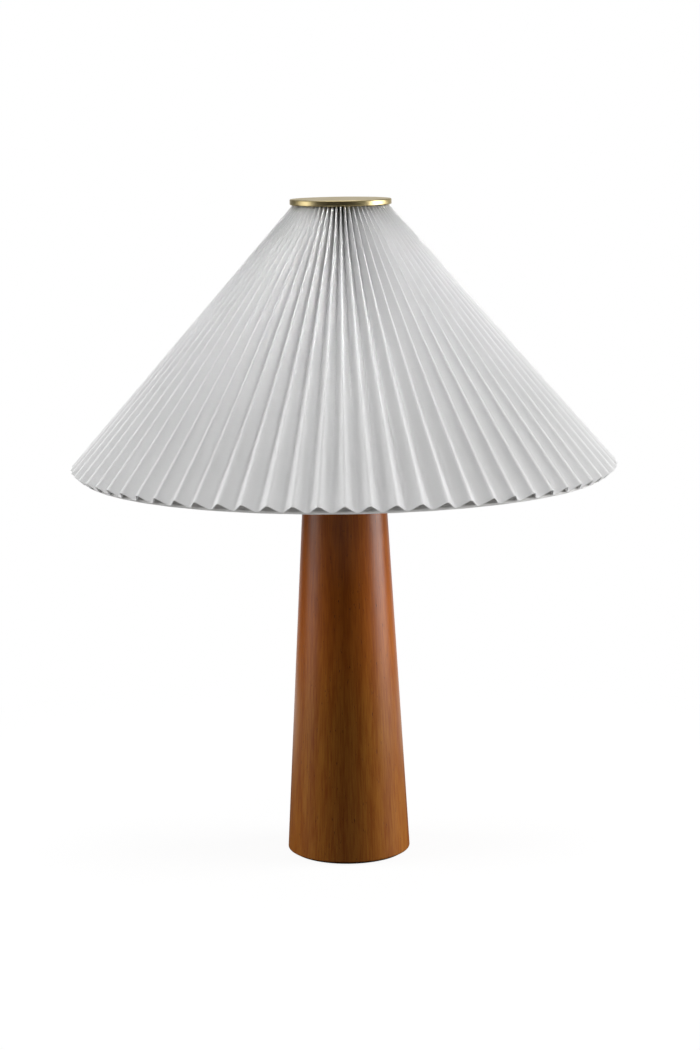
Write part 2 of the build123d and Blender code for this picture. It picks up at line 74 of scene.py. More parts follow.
class Nodes:
    """Adds shader nodes to one tree and joins them."""

    def __init__(self, tree: bpy.types.NodeTree) -> None:
        """Keep the tree that the nodes go into."""
        self.tree = tree

    def feed(self, socket: Socket, value: Value) -> None:
        """Join an output to an input, or set a constant on it, a colour with full alpha.

        Args:
            socket: the input.
            value: another node's output, or the constant.
        """
        if isinstance(value, Socket):
            self.tree.links.new(value, socket)
        else:
            socket.default_value = (*value, 1.0) if socket.type == "RGBA" else value

    def wire(self, node: bpy.types.Node, **values: Value) -> None:
        """Feed several inputs of a node, each named with underscores for spaces."""
        for name, value in values.items():
            self.feed(node.inputs[name.replace("_", " ")], value)

    def add(
        self, kind: str, inputs: dict[str | int, Value] | None = None, **settings: object
    ) -> bpy.types.Node:
        """Add one node.

        Args:
            kind: Blender's name for the type of node.
            inputs: each socket's name or number, with a constant or another node's output.
            settings: the node's own properties.

        Returns:
            The new node.
        """
        node = self.tree.nodes.new(kind)
        for name, setting in settings.items():
            setattr(node, name, setting)
        for key, value in (inputs or {}).items():
            self.feed(node.inputs[key], value)
        return node

    def math(self, operation: str, *values: Value) -> Socket:
        """Join one Math node, with one to three numbers or outputs."""
        return self.add("ShaderNodeMath", dict(enumerate(values)), operation=operation).outputs[0]

    def add_up(self, base: float, *shares: tuple[Socket, float]) -> Socket:
        """Add each value times its share to a base.

        Args:
            base: the number to start from.
            shares: each output, with its share.

        Returns:
            The sum's output socket.
        """
        total: Value = base
        for value, share in shares:
            total = self.math("MULTIPLY_ADD", value, share, total)
        return total

    def fit(
        self, value: Value, low: float, high: float, start: float = 0.0, end: float = 1.0
    ) -> Socket:
        """Carry low to high onto start to end, easing in and out and stopping at both ends.

        Args:
            value: what is carried over.
            low: the value that gives start.
            high: the value that gives end.
            start: the result at low.
            end: the result at high.

        Returns:
            The result's output socket.
        """
        inputs = {"Value": value, "From Min": low, "From Max": high, "To Min": start, "To Max": end}
        node = self.add("ShaderNodeMapRange", inputs, interpolation_type="SMOOTHSTEP")
        return node.outputs["Result"]

    def tint(self, share: Value, first: Value, second: Value) -> Socket:
        """Mix two colours: the first at share 0, the second at share 1."""
        inputs = {MIX_SHARE: share, MIX_FIRST: first, MIX_SECOND: second}
        return self.add("ShaderNodeMix", inputs, data_type="RGBA").outputs[MIX_RESULT]

    def bump(self, height: Value, distance: float) -> Socket:
        """Normals of a surface raised by height times distance, in metres."""
        inputs = {"Height": height, "Distance": distance, "Strength": 1.0}
        return self.add("ShaderNodeBump", inputs).outputs["Normal"]

    def effect(self, group: bpy.types.NodeTree, **values: Value) -> bpy.types.Node:
        """Place a shared effect.

        Args:
            group: the effect's node group.
            values: what its inputs get here.

        Returns:
            The group's node.
        """
        node = self.add("ShaderNodeGroup", node_tree=group)
        self.wire(node, **values)
        return node

    def parts(self, vector: Value) -> bpy.types.NodeOutputs:
        """Split a vector into X, Y and Z."""
        return self.add("ShaderNodeSeparateXYZ", {"Vector": vector}).outputs

    def on_object(self) -> Socket:
        """Place on the piece, in metres."""
        return self.add("ShaderNodeTexCoord").outputs["Object"]

    def on_cloth(self) -> Socket:
        """Place on the flat cloth, in metres, from the piece's own UV map."""
        return self.add("ShaderNodeUVMap", uv_map=CLOTH_MAP).outputs["UV"]


def clear_nodes(owner: bpy.types.Material | bpy.types.World) -> Nodes:
    """Give a material or a world an empty node tree.

    Args:
        owner: the material or world.

    Returns:
        Its nodes.
    """
    owner.use_nodes = True
    owner.node_tree.nodes.clear()
    return Nodes(owner.node_tree)


class Effects:
    """Shader node groups for effects that more than one finish uses, each built once."""

    slubs_per_metre: Place = (60.0, 900.0, 1.0)
    cloud_range: Point = (0.35, 0.68)

    def __init__(self) -> None:
        """Build every group."""
        self.grain = self.long_grain()
        self.weave = self.plain_weave()
        self.handling = self.handling_marks()

    @staticmethod
    def start(
        name: str, sizes: tuple[str, ...], outputs: tuple[str, ...]
    ) -> tuple[Nodes, bpy.types.NodeOutputs, bpy.types.Node]:
        """Begin a group that takes a place and sizes, and puts out plain values.

        Args:
            name: the group's name.
            sizes: the names of the sizes that it takes.
            outputs: the names of what it puts out.

        Returns:
            The group's nodes, what it is given and its output node.
        """
        tree = bpy.data.node_groups.new(name, "ShaderNodeTree")
        face = tree.interface
        face.new_socket(name="Place", in_out="INPUT", socket_type="NodeSocketVector")
        for size in sizes:
            face.new_socket(name=size, in_out="INPUT", socket_type="NodeSocketFloat")
        for output in outputs:
            face.new_socket(name=output, in_out="OUTPUT", socket_type="NodeSocketFloat")
        nodes = Nodes(tree)
        return nodes, nodes.add("NodeGroupInput").outputs, nodes.add("NodeGroupOutput")

    def long_grain(self) -> bpy.types.NodeTree:
        """Noise drawn out along Z: its cells are Width across and Length along, in metres.

        Returns:
            The group, which puts out Tone.
        """
        nodes, given, out = self.start("long_grain", ("Width", "Length"), ("Tone",))
        across = nodes.math("DIVIDE", 1.0, given["Width"])
        along = nodes.math("DIVIDE", 1.0, given["Length"])
        scale = nodes.add("ShaderNodeCombineXYZ", {"X": across, "Y": across, "Z": along})
        drawn = nodes.add(
            "ShaderNodeVectorMath",
            {0: given["Place"], 1: scale.outputs["Vector"]},
            operation="MULTIPLY",
        )
        noise = nodes.add(
            "ShaderNodeTexNoise",
            {"Vector": drawn.outputs["Vector"], "Scale": 1.0, "Detail": 3.0, "Roughness": 0.55},
        )
        nodes.wire(out, Tone=noise.outputs["Fac"])
        return nodes.tree

    def plain_weave(self) -> bpy.types.NodeTree:
        """Threads crossing over and under, Pitch metres apart.

        Height is |sin| of one way or the other, in turn as a checkerboard. Slub is slow noise drawn
        out along the weft, for yarn that runs thick and thin.

        Returns:
            The group, which puts out Height and Slub.
        """
        nodes, given, out = self.start("plain_weave", ("Pitch",), ("Height", "Slub"))
        place = nodes.parts(given["Place"])
        turn = nodes.math("DIVIDE", math.pi, given["Pitch"])
        warp = nodes.math("SINE", nodes.math("MULTIPLY", place["X"], turn))
        weft = nodes.math("SINE", nodes.math("MULTIPLY", place["Y"], turn))
        over = nodes.math("GREATER_THAN", nodes.math("MULTIPLY", warp, weft), 0.0)
        under = nodes.math("SUBTRACT", 1.0, over)
        up = nodes.math("MULTIPLY", over, nodes.math("ABSOLUTE", warp))
        down = nodes.math("MULTIPLY", under, nodes.math("ABSOLUTE", weft))
        yarn = nodes.add(
            "ShaderNodeVectorMath",
            {0: given["Place"], 1: self.slubs_per_metre},
            operation="MULTIPLY",
        )
        slub = nodes.add(
            "ShaderNodeTexNoise", {"Vector": yarn.outputs["Vector"], "Scale": 1.0, "Detail": 2.0}
        )
        nodes.wire(out, Height=nodes.math("ADD", up, down), Slub=slub.outputs["Fac"])
        return nodes.tree

    def handling_marks(self) -> bpy.types.NodeTree:
        """Slow clouds of Size metres, for the uneven gloss of a handled surface.

        Returns:
            The group, which puts out Mask.
        """
        nodes, given, out = self.start("handling_marks", ("Size",), ("Mask",))
        often = nodes.math("DIVIDE", 1.0, given["Size"])
        noise = nodes.add(
            "ShaderNodeTexNoise",
            {"Vector": given["Place"], "Scale": often, "Detail": 4.0, "Roughness": 0.6},
        )
        nodes.wire(out, Mask=nodes.fit(noise.outputs["Fac"], *self.cloud_range))
        return nodes.tree


def begin_material(
    name: str, **constants: Value
) -> tuple[bpy.types.Material, Nodes, bpy.types.Node]:
    """Begin a material on one Principled shader.

    Args:
        name: the material's name.
        constants: the shader's plain values, by socket name with underscores.

    Returns:
        The material, its nodes and its shader.
    """
    material = bpy.data.materials.new(name)
    nodes = clear_nodes(material)
    shader = nodes.add("ShaderNodeBsdfPrincipled")
    nodes.wire(shader, **constants)
    nodes.add("ShaderNodeOutputMaterial", {"Surface": shader.outputs["BSDF"]})
    return material, nodes, shader


@dataclass(frozen=True)
class WoodFinish:
    """Stained hardwood under satin lacquer: straight grain, slow colour bands and short open pores.

    Its colour is deep and reddish at the top. Towards the foot it is painted duller and more
    golden:
    painted shade and light for how the light falls on the lower column. A cell is the width and
    length of one streak, fibre or pore.
    """

    dark: Colour = (0.325, 0.072, 0.0068)
    light: Colour = (0.500, 0.138, 0.0160)
    umber: Colour = (0.250, 0.060, 0.0060)
    golden: Colour = (0.405, 0.156, 0.0220)
    pore: Colour = (0.095, 0.024, 0.004)
    # Between these heights, going down, the colour turns duller and more golden: painted shade and
    # light on the foot.
    foot_shade_from: float = 0.09
    foot_shade_to: float = 0.21
    foot_shade_share: float = 0.90
    heart: Point = (0.075, -0.040)
    ring_spacing: float = 0.011
    streak_cell: Point = (0.0060, 0.30)
    fibre_cell: Point = (0.0011, 0.070)
    pore_cell: Point = (0.00080, 0.0055)
    streak_share: float = 0.28
    fibre_share: float = 0.62
    ring_share: float = 0.10
    tone_range: Point = (0.25, 0.75)
    pore_range: Point = (0.655, 0.73)
    mark_size: float = 0.05
    roughness: float = 0.27
    mark_roughness: float = 0.05
    fibre_roughness: float = 0.10
    relief: float = 0.00006
    fibre_height: float = 0.5
    pore_depth: float = 0.8

    def material(self, name: str, effects: Effects) -> bpy.types.Material:
        """Build the material.

        Args:
            name: the material's name.
            effects: the shared effects.

        Returns:
            The new material.
        """
        material, nodes, shader = begin_material(
            name, Specular_IOR_Level=0.25, Coat_Weight=0.10, Coat_Roughness=0.30
        )
        place = nodes.on_object()
        streaks, fibres, pores = (
            nodes.effect(effects.grain, Place=place, Width=width, Length=length).outputs["Tone"]
            for width, length in (self.streak_cell, self.fibre_cell, self.pore_cell)
        )
        marks = nodes.effect(effects.handling, Place=place, Size=self.mark_size).outputs["Mask"]
        to_heart = (-self.heart[0], -self.heart[1], 0.0)
        from_heart = nodes.add("ShaderNodeMapping", {"Vector": place, "Location": to_heart})
        rings = nodes.add(
            "ShaderNodeTexWave",
            {
                "Vector": from_heart.outputs["Vector"],
                "Scale": FULL_TURN / (RING_TEXTURE_RATE * self.ring_spacing),
                "Distortion": 5.0,
                "Detail": 2.0,
                "Detail Scale": 0.35,
            },
            wave_type="RINGS",
            rings_direction="Z",
        )
        tone = nodes.add_up(
            0.0,
            (streaks, self.streak_share),
            (fibres, self.fibre_share),
            (rings.outputs["Fac"], self.ring_share),
        )
        figure = nodes.fit(tone, *self.tone_range)
        height = nodes.parts(place)["Z"]
        # Painted shade and light: the colour is duller and more golden towards the foot.
        low = nodes.fit(height, self.foot_shade_to, self.foot_shade_from, 0.0, self.foot_shade_share)
        reddish = nodes.tint(figure, self.dark, self.light)
        stain_and_foot_shade = nodes.tint(low, reddish, nodes.tint(figure, self.umber, self.golden))
        open_pore = nodes.fit(pores, *self.pore_range)
        uneven = nodes.add_up(0.0, (fibres, self.fibre_height), (open_pore, -self.pore_depth))
        nodes.wire(
            shader,
            Base_Color=nodes.tint(open_pore, stain_and_foot_shade, self.pore),
            Roughness=nodes.add_up(
                self.roughness, (marks, self.mark_roughness), (fibres, self.fibre_roughness)
            ),
            Normal=nodes.bump(uneven, self.relief),
        )
        return material


@dataclass(frozen=True)
class ClothFinish:
    """Thin plain-woven cloth with slightly uneven yarn."""

    colour: Colour
    # Shadow colour: painted shade where the weave dips between threads, and the darker tone of
    # thick yarn.
    shadow: Colour
    pitch: float = 0.0007
    relief: float = 0.00006
    sheen: float = 0.15
    light_reach: float = 0.0010
    shade: float = 0.30
    slub_shade: float = 0.55
    thread_light: float = 0.45
    roughness: float = 0.80
    slub_roughness: float = 0.15

    def material(self, name: str, effects: Effects) -> bpy.types.Material:
        """Build the material.

        Args:
            name: the material's name.
            effects: the shared effects.

        Returns:
            The new material.
        """
        material, nodes, shader = begin_material(
            name,
            Sheen_Weight=self.sheen,
            Sheen_Roughness=0.5,
            Specular_IOR_Level=0.25,
            Subsurface_Weight=0.8,
            Subsurface_Radius=(1.0, 1.0, 1.0),
            Subsurface_Scale=self.light_reach,
        )
        weave = nodes.effect(effects.weave, Place=nodes.on_cloth(), Pitch=self.pitch)
        height, slub = weave.outputs["Height"], weave.outputs["Slub"]
        # Painted shade: the cloth is darker where the weave dips between threads, and thick yarn is
        # darker too.
        weave_shade_and_slub = nodes.add_up(self.shade, (slub, self.slub_shade), (height, -self.thread_light))
        nodes.wire(
            shader,
            Base_Color=nodes.tint(weave_shade_and_slub, self.colour, self.shadow),
            Roughness=nodes.add_up(self.roughness, (slub, self.slub_roughness)),
            Normal=nodes.bump(height, self.relief),
        )
        return material


@dataclass(frozen=True)
class FeltFinish:
    """Pressed felt: short fibres lying every way, with no weave."""

    colour: Colour
    # Shadow colour: painted shade in the hollows among the fibres, and the darker tone of clumps.
    shadow: Colour
    fibres_per_metre: float = 1400.0
    clump_size: float = 0.004
    fibre_share: float = 0.7
    clump_share: float = 0.4
    roughness: float = 0.88
    clump_roughness: float = 0.1
    relief: float = 0.0003

    def material(self, name: str, effects: Effects) -> bpy.types.Material:
        """Build the material.

        Args:
            name: the material's name.
            effects: the shared effects.

        Returns:
            The new material.
        """
        material, nodes, shader = begin_material(
            name, Sheen_Weight=0.4, Sheen_Roughness=0.6, Specular_IOR_Level=0.1
        )
        place = nodes.on_object()
        fluff = nodes.add(
            "ShaderNodeTexNoise",
            {"Vector": place, "Scale": self.fibres_per_metre, "Detail": 5.0, "Distortion": 1.5},
        ).outputs["Fac"]
        clumps = nodes.effect(effects.handling, Place=place, Size=self.clump_size).outputs["Mask"]
        # Painted shade: the felt is darker where its fibres lie low, and also in darker clumps.
        tone = nodes.add_up(0.0, (fluff, self.fibre_share), (clumps, self.clump_share))
        nodes.wire(
            shader,
            Base_Color=nodes.tint(tone, self.shadow, self.colour),
            Roughness=nodes.add_up(self.roughness, (clumps, self.clump_roughness)),
            Normal=nodes.bump(fluff, self.relief),
        )
        return material


class Lay(Enum):
    """How the fine lines of a metal surface run."""

    TURNED = "round the lamp's axis"
    DRAWN = "along the lamp's axis"


@dataclass(frozen=True)
class MetalFinish:
    """Bare or plated metal with fine working lines and an uneven, handled gloss.

    The smoothest spots are below the roughness by smoother, and lines and marks add to them.
    """

    colour: Colour
    tarnish: Colour
    roughness: float
    lay: Lay = Lay.DRAWN
    metallic: float = 1.0
    line: float = 0.00025
    line_length: float = 0.02
    mark_size: float = 0.012
    line_tarnish: float = 0.5
    mark_tarnish: float = 0.35
    smoother: float = 0.1
    line_roughness: float = 0.14
    mark_roughness: float = 0.06
    relief: float = 0.000004

    def along_lines(self, nodes: Nodes, place: Socket) -> Socket:
        """Place that the working lines follow.

        It is the place itself where they run along the axis, and radius and height where they run
        round it.

        Args:
            nodes: the material's nodes.
            place: place on the piece.

        Returns:
            The place's output socket.
        """
        if self.lay is Lay.DRAWN:
            return place
        parts = nodes.parts(place)
        flat = nodes.add("ShaderNodeCombineXYZ", {"X": parts["X"], "Y": parts["Y"]})
        radius = nodes.add(
            "ShaderNodeVectorMath", {0: flat.outputs["Vector"]}, operation="LENGTH"
        ).outputs["Value"]
        return nodes.add("ShaderNodeCombineXYZ", {"X": radius, "Y": parts["Z"]}).outputs["Vector"]

    def material(self, name: str, effects: Effects) -> bpy.types.Material:
        """Build the material.

        Args:
            name: the material's name.
            effects: the shared effects.

        Returns:
            The new material.
        """
        material, nodes, shader = begin_material(name, Metallic=self.metallic)
        place = nodes.on_object()
        lines = nodes.effect(
            effects.grain,
            Place=self.along_lines(nodes, place),
            Width=self.line,
            Length=self.line_length,
        ).outputs["Tone"]
        marks = nodes.effect(effects.handling, Place=place, Size=self.mark_size).outputs["Mask"]
        dull = nodes.add_up(0.0, (lines, self.line_tarnish), (marks, self.mark_tarnish))
        nodes.wire(
            shader,
            Base_Color=nodes.tint(dull, self.colour, self.tarnish),
            Roughness=nodes.add_up(
                self.roughness - self.smoother,
                (marks, self.mark_roughness),
                (lines, self.line_roughness),
            ),
            Normal=nodes.bump(lines, self.relief),
        )
        return material


@dataclass(frozen=True)
class MouldedFinish:
    """Moulded plastic, phenolic, enamel or card: one colour with slow clouds and a fine grain.

    The smoothest spots are below the roughness by smoother, and clouds and grain add to them.
    """

    colour: Colour
    cloud: Colour
    roughness: float
    grain: float = 0.0009
    cloud_size: float = 0.008
    smoother: float = 0.08
    grain_roughness: float = 0.12
    cloud_roughness: float = 0.06
    relief: float = 0.00001

    def material(self, name: str, effects: Effects) -> bpy.types.Material:
        """Build the material.

        Args:
            name: the material's name.
            effects: the shared effects.

        Returns:
            The new material.
        """
        material, nodes, shader = begin_material(name, Specular_IOR_Level=0.5)
        place = nodes.on_object()
        clouds = nodes.effect(effects.handling, Place=place, Size=self.cloud_size).outputs["Mask"]
        skin = nodes.effect(
            effects.grain, Place=place, Width=self.grain, Length=self.grain
        ).outputs["Tone"]
        nodes.wire(
            shader,
            Base_Color=nodes.tint(clouds, self.colour, self.cloud),
            Roughness=nodes.add_up(
                self.roughness - self.smoother,
                (clouds, self.cloud_roughness),
                (skin, self.grain_roughness),
            ),
            Normal=nodes.bump(skin, self.relief),
        )
        return material


@dataclass(frozen=True)
class FrostedGlassFinish:
    """Bulb glass with a white, slightly uneven inner coat."""

    colour: Colour
    thin: Colour
    coat_size: float = 0.05
    roughness: float = 0.30
    coat_roughness: float = 0.04

    def material(self, name: str, effects: Effects) -> bpy.types.Material:
        """Build the material.

        Args:
            name: the material's name.
            effects: the shared effects.

        Returns:
            The new material.
        """
        material, nodes, shader = begin_material(
            name, Transmission_Weight=0.25, IOR=1.5, Metallic=0.0
        )
        place = nodes.on_object()
        coat = nodes.effect(effects.handling, Place=place, Size=self.coat_size).outputs["Mask"]
        nodes.wire(
            shader,
            Base_Color=nodes.tint(coat, self.colour, self.thin),
            Roughness=nodes.add_up(self.roughness, (coat, self.coat_roughness)),
        )
        return material


Finish = WoodFinish | ClothFinish | FeltFinish | MetalFinish | MouldedFinish | FrostedGlassFinish

FINISHES: dict[str, Finish] = {
    "walnut": WoodFinish(),
    "foot_felt": FeltFinish((0.060, 0.052, 0.046), (0.022, 0.019, 0.017)),
    "washer_felt": FeltFinish((0.72, 0.69, 0.62), (0.50, 0.47, 0.41)),
    "iron": MetalFinish(
        (0.13, 0.13, 0.13), (0.075, 0.070, 0.068), 0.62, metallic=0.9, line=0.0008, relief=0.00006
    ),
    "zinc_steel": MetalFinish((0.62, 0.62, 0.60), (0.45, 0.45, 0.44), 0.36),
    "satin_brass": MetalFinish((0.66, 0.545, 0.290), (0.55, 0.440, 0.210), 0.40, lay=Lay.TURNED),
    "bright_brass": MetalFinish((0.78, 0.58, 0.28), (0.62, 0.43, 0.19), 0.22),
    "bushing_black": MouldedFinish(
        (0.030, 0.030, 0.030), (0.042, 0.041, 0.040), 0.55, relief=0.00003
    ),
    "phenolic": MouldedFinish((0.060, 0.035, 0.025), (0.090, 0.052, 0.034), 0.30),
    "liner_card": MouldedFinish((0.56, 0.43, 0.29), (0.46, 0.34, 0.22), 0.85, relief=0.00004),
    "knob_black": MouldedFinish((0.018, 0.018, 0.018), (0.028, 0.027, 0.026), 0.26),
    "bulb_glass": FrostedGlassFinish((0.92, 0.91, 0.88), (0.88, 0.87, 0.84)),
    "bulb_metal": MetalFinish((0.78, 0.78, 0.77), (0.62, 0.62, 0.61), 0.30),
    "bulb_black_glass": MouldedFinish((0.018, 0.018, 0.024), (0.030, 0.030, 0.036), 0.14),
    "pleated_cloth": ClothFinish((0.97, 0.97, 0.97), (0.92, 0.92, 0.925)),
    "lining_cloth": ClothFinish((0.84, 0.835, 0.82), (0.74, 0.73, 0.715), pitch=0.0005),
    "white_wire": MouldedFinish((0.84, 0.84, 0.83), (0.78, 0.78, 0.76), 0.32),
}


class Wardrobe:
    """Makes each finish's material once and puts it on CAD nodes and new pieces."""

    def __init__(self, effects: Effects) -> None:
        """Build the material of every slot."""
        self.materials = {
            slot: finish.material(f"{slot}_finish", effects) for slot, finish in FINISHES.items()
        }

    def dress_nodes(self) -> None:
        """Put each CAD node's finish, named by the record's slots, on it."""
        for part in frame["record"]["subparts"]:
            mesh = frame["nodes"][part["node"]].data
            mesh.materials.clear()
            mesh.materials.append(self.materials[part["material_slot"]])
            log.info("dressed %s in %s", part["node"], part["material_slot"])

    def dress_piece(self, piece: bpy.types.Object, slot: str, body: str, *nodes: str) -> None:
        """Put a finish on a new piece, and let it ride and stand for CAD nodes.

        Args:
            piece: the new piece.
            slot: the record's slot for its finish.
            body: the body that it moves with.
            nodes: the CAD nodes that it replaces.
        """
        piece.data.materials.append(self.materials[slot])
        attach(piece, body)
        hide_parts(*nodes)
        log.info("made %s for %s", piece.name, ", ".join(nodes))


def turns(steps: int, closing: int = 0) -> np.ndarray:
    """Even angles round the full turn.

    Args:
        steps: how many there are in the turn.
        closing: 1 to end with the full turn itself, for a seam.

    Returns:
        The angles.
    """
    return np.arange(steps + closing) / steps * FULL_TURN


def around_axis(radius: np.ndarray, angle: np.ndarray, height: np.ndarray) -> np.ndarray:
    """Points round the Z axis: (r cos a, r sin a, z).

    Args:
        radius: the distances r from the axis.
        angle: the angles a.
        height: the heights z.

    Returns:
        An array of points with the arrays' common shape.
    """
    points = np.broadcast_arrays(radius * np.cos(angle), radius * np.sin(angle), height)
    return np.stack(points, axis=-1)


def turned(profile: np.ndarray, steps: int) -> np.ndarray:
    """Carry a profile, rows of radius and height, round the Z axis in so many steps."""
    return around_axis(profile[:, :1], turns(steps), profile[:, 1:])


def grid_piece(
    name: str, points: np.ndarray, cloth: np.ndarray | None = None, loop: bool = False
) -> bpy.types.Object:
    """Make a mesh of a grid of points that closes on itself along its second axis.

    Each face joins the points (i, j), (i, j+1), (i+1, j+1) and (i+1, j), so a profile that rises
    faces outwards.

    Args:
        name: the piece's name.
        points: the grid, with three coordinates for each point.
        cloth: place on the flat cloth for each point, with one more column for the closing seam,
            and one more row where the grid loops.
        loop: whether the grid also closes along its first axis.

    Returns:
        The new object, at the origin.
    """
    rows, columns = points.shape[:2]
    row = np.arange(rows if loop else rows - 1)[:, None]
    column = np.arange(columns)[None, :]
    above, beside = (row + 1) % rows, (column + 1) % columns
    corners = np.broadcast_arrays(
        row * columns + column,
        row * columns + beside,
        above * columns + beside,
        above * columns + column,
    )
    faces = np.stack(corners, axis=-1).reshape(-1, 4)
    mesh = bpy.data.meshes.new(name)
    mesh.from_pydata(points.reshape(-1, 3).tolist(), [], faces.tolist())
    if cloth is not None:
        spots = [
            cloth[row, column],
            cloth[row, column + 1],
            cloth[row + 1, column + 1],
            cloth[row + 1, column],
        ]
        layer = mesh.uv_layers.new(name=CLOTH_MAP)
        layer.uv.foreach_set("vector", np.stack(spots, axis=2).astype(np.float32).ravel())
    mesh.polygons.foreach_set("use_smooth", np.ones(len(faces), dtype=bool))
    mesh.validate()
    mesh.update()
    piece = bpy.data.objects.new(name, mesh)
    bpy.context.scene.collection.objects.link(piece)
    return piece


def settle(piece: bpy.types.Object, kind: str, **settings: float) -> None:
    """Put what a modifier makes of a piece into its mesh, and keep its cut edges sharp.

    Args:
        piece: the piece.
        kind: Blender's name for the type of modifier.
        settings: the modifier's own properties.
    """
    modifier = piece.modifiers.new(kind.lower(), kind)
    for name, setting in settings.items():
        setattr(modifier, name, setting)
    depsgraph = bpy.context.evaluated_depsgraph_get()
    mesh = bpy.data.meshes.new_from_object(piece.evaluated_get(depsgraph))
    piece.modifiers.clear()
    piece.data = mesh
    mesh.set_sharp_from_angle(angle=math.radians(CUT_EDGE_DEGREES))


def give_wall(piece: bpy.types.Object, thickness: float) -> None:
    """Thicken a cloth surface inwards."""
    settle(piece, "SOLIDIFY", thickness=thickness, offset=-1.0)


def close_poles(piece: bpy.types.Object) -> None:
    """Join the points that meet on the axis, so that each pole is one vertex."""
    settle(piece, "WELD", merge_threshold=POLE_GAP)


def level(first: Point, second: Point, height: float) -> Point:
    """Point at one height on the straight line through two points of radius and height."""
    share = (height - first[1]) / (second[1] - first[1])
    return first[0] + share * (second[0] - first[0]), height


